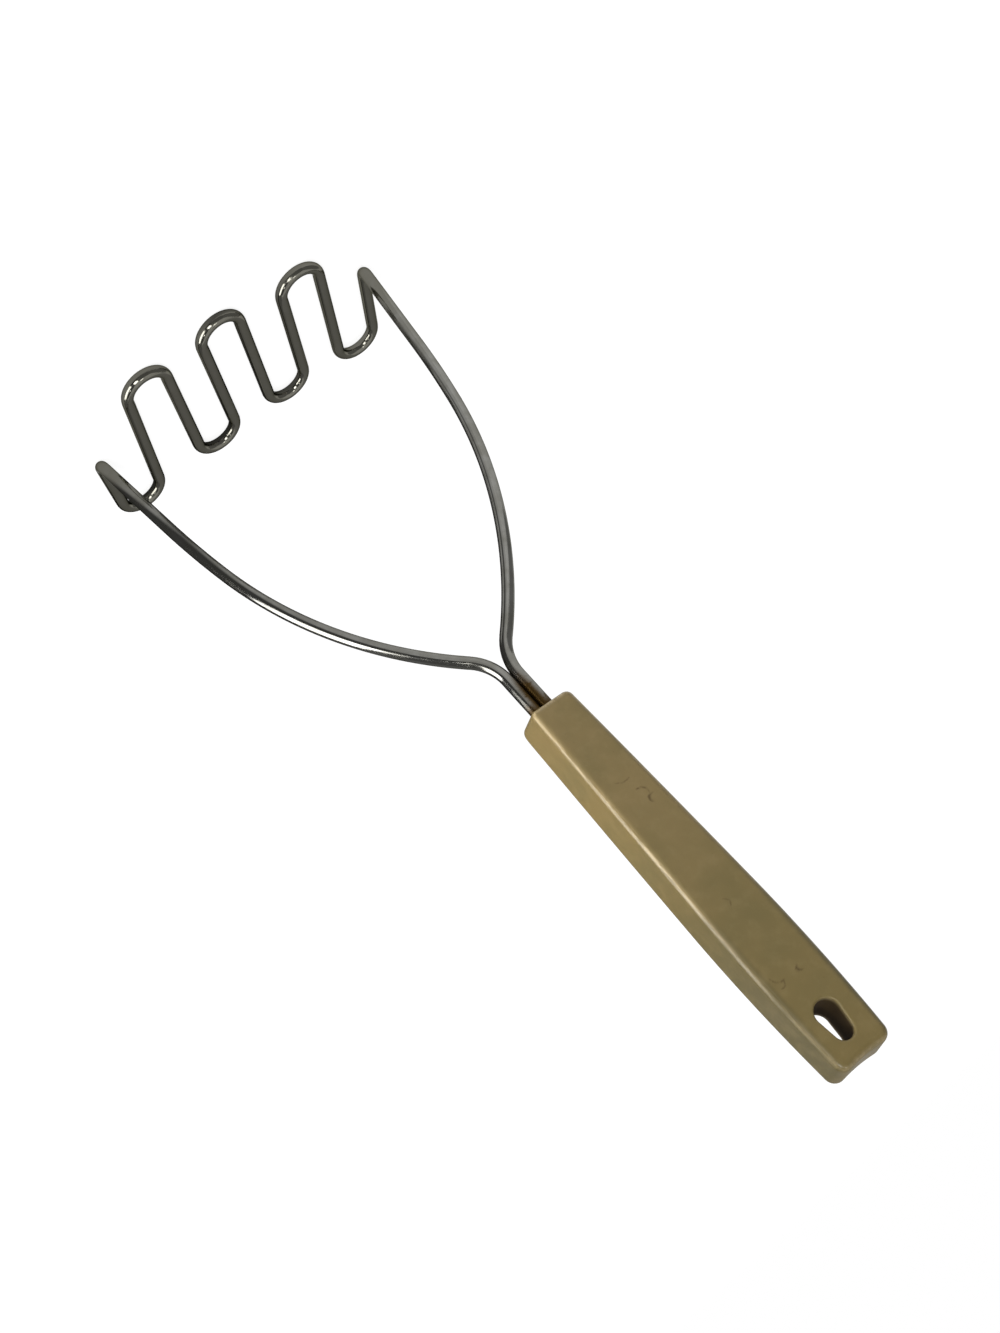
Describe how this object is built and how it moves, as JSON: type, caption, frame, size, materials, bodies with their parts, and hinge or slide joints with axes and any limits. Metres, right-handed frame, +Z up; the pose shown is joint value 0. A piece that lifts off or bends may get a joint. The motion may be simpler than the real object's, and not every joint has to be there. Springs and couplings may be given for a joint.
{
  "type": "potato masher",
  "caption": "Wire potato masher: a zigzag mashing head and bowed arms bent from a single round wire, with a slender moulded handle and a teardrop hang hole.",
  "frame": {"origin": "middle of the overall footprint, at the underside of the mashing head", "axes": "+Z up along the handle, +X across the head from arm to arm, +Y to the front"},
  "size_m": [0.0996, 0.0602, 0.2647],
  "materials": {
    "wire": "dull plated, worn",
    "handle": "moulded, worn gloss"
  },
  "bodies": {
    "root": {"masher_wire": "wire", "handle": "handle"}
  },
  "joints": []
}
